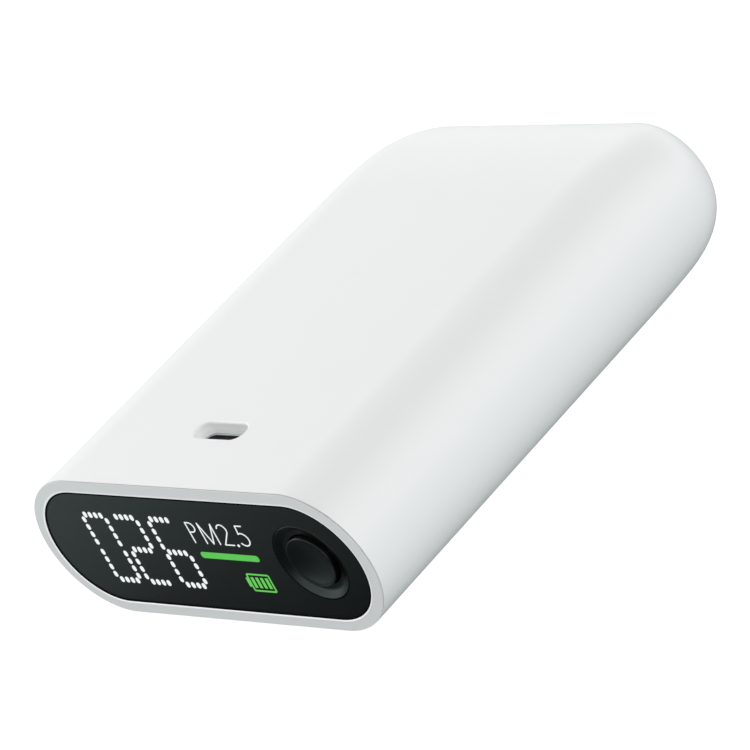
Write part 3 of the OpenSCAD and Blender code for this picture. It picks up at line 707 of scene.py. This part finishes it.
def make_camera():
    """The camera, tilted by its roll."""
    data = bpy.data.cameras.new("camera")
    data.sensor_width = SENSOR_WIDTH
    data.lens = CAMERA_LENS
    data.clip_start = 0.05
    data.clip_end = 50
    camera = bpy.data.objects.new("camera", data)
    bpy.context.scene.collection.objects.link(camera)
    back = direction(*CAMERA_FROM)
    camera.location = Vector(CAMERA_AIM) + back * CAMERA_DISTANCE
    level = (-back).to_track_quat("-Z", "Y").to_matrix()
    roll = Matrix.Rotation(math.radians(-CAMERA_ROLL), 3, "Z")
    camera.rotation_euler = (level @ roll).to_euler()
    bpy.context.scene.camera = camera


LAMPS = {
    # name: azimuth, elevation, distance, size, power
    "left": (-90, 35, 0.9, 0.7, 4.25),
    "left_back": (-135, 40, 0.9, 0.7, 0.4),
    "back": (180, 30, 0.9, 0.7, 0.2),
    "right_back": (135, 35, 0.9, 0.6, 1.3),
    "right": (90, 20, 0.9, 0.6, 1.7),
}
SKY = [  # height of the sky's direction from -1 to 1, colour there
    (-1.0, (0, 0, 0)), (-0.5, (0.91, 0.99, 0.99)), (-0.15, (0.42, 0.46, 0.46)), (0.15, (1.55, 1.6, 1.6)),
    (0.5, (0.3, 0.3, 0.3)), (1.0, (0.62, 0.62, 0.62))]


def make_lamp(name, azimuth, elevation, distance, size, power):
    """A round soft lamp that faces the body."""
    data = bpy.data.lights.new(name, "AREA")
    data.shape = "DISK"
    data.size = size
    data.energy = power
    lamp = bpy.data.objects.new(name, data)
    bpy.context.scene.collection.objects.link(lamp)
    away = direction(azimuth, elevation)
    lamp.location = body_mid + away * distance
    lamp.rotation_euler = (-away).to_track_quat("-Z", "Y").to_euler()


def make_sky():
    """Studio light from all round, whose colour depends on its height."""
    world = bpy.data.worlds.new("studio")
    bpy.context.scene.world = world
    world.use_nodes = True
    tree = world.node_tree
    tree.nodes.clear()
    where = tree.nodes.new("ShaderNodeTexCoord")
    split = tree.nodes.new("ShaderNodeSeparateXYZ")
    ramp = tree.nodes.new("ShaderNodeValToRGB")
    stops = Recipe.ramp_stops(ramp, len(SKY))
    for stop, (height, shade) in zip(stops, SKY):
        stop.position = (height + 1) / 2
        stop.color = (*shade, 1)
    scale = tree.nodes.new("ShaderNodeMapRange")
    scale.inputs[1].default_value = -1
    scale.inputs[2].default_value = 1
    glow = tree.nodes.new("ShaderNodeBackground")
    out = tree.nodes.new("ShaderNodeOutputWorld")
    tree.links.new(where.outputs["Generated"], split.inputs[0])
    tree.links.new(split.outputs["Z"], scale.inputs[0])
    tree.links.new(scale.outputs[0], ramp.inputs[0])
    tree.links.new(ramp.outputs[0], glow.inputs["Color"])
    tree.links.new(glow.outputs[0], out.inputs["Surface"])


TABLE_SPAN = (-0.15, 0.05)
TABLE_PAINTED_SHADOW = [  # place across the span, shade there: a painted shadow, paler on the left of the object and darkest at it and to its right
    (0, (0.69, 0.84, 0.82, 1)), (0.3, (0.52, 0.64, 0.62, 1)), (0.5, (0.35, 0.43, 0.42, 1)),
    (0.7, (0.14, 0.175, 0.17, 1)), (0.85, (0.045, 0.052, 0.05, 1)), (1, (0.03, 0.03, 0.03, 1))]


def floor_plane(name, drop, material):
    """A level plane under the object."""
    shape = bmesh.new()
    bmesh.ops.create_grid(shape, x_segments=1, y_segments=1, size=6)
    mesh = bpy.data.meshes.new(name)
    shape.to_mesh(mesh)
    shape.free()
    mesh.materials.append(material)
    plane = bpy.data.objects.new(name, mesh)
    bpy.context.scene.collection.objects.link(plane)
    plane.location.z = body_low.z - drop
    plane.visible_diffuse = False
    plane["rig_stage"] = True
    return plane


def make_floor():
    """A pale backdrop that lights nothing, and the table top that the dark front mirrors, with a painted
    shadow darkest at the object and to its right.
    """
    recipe = Recipe("pale_floor")
    shade = recipe.spread(recipe.noise(30, detail=2), 0.3, 0.7, 0.84, 0.86)
    backdrop = floor_plane("pale_floor", 0.0004, recipe.finish(
        Base_Color=recipe.blend(shade, rgb(0, 0, 0), rgb(1, 1, 1)), Roughness=0.9,
        Emission_Color=rgb(1, 1, 1), Emission_Strength=0.8))
    backdrop.visible_glossy = False
    recipe = Recipe("table_top")
    split = recipe.node("ShaderNodeSeparateXYZ", None, {0: recipe.place()})
    # painted shadow on the table top, seen only in reflections: darkest at the object and to its right
    shade = recipe.node("ShaderNodeValToRGB", {"stops": TABLE_PAINTED_SHADOW}, {
        0: recipe.spread(split, *TABLE_SPAN, 0, 1)})
    table = floor_plane("table_top", 0.0002, recipe.finish(Base_Color=shade, Roughness=0.9))
    table.visible_camera = False


make_camera()
make_sky()
make_floor()
for lamp_name, lamp_place in LAMPS.items():
    make_lamp(lamp_name, *lamp_place)
scene = bpy.context.scene
scene.view_settings.view_transform = "Standard"
scene.view_settings.look = "None"

make_sleeve()
make_ring()
make_cap()
soften_edges()
paint_everything()
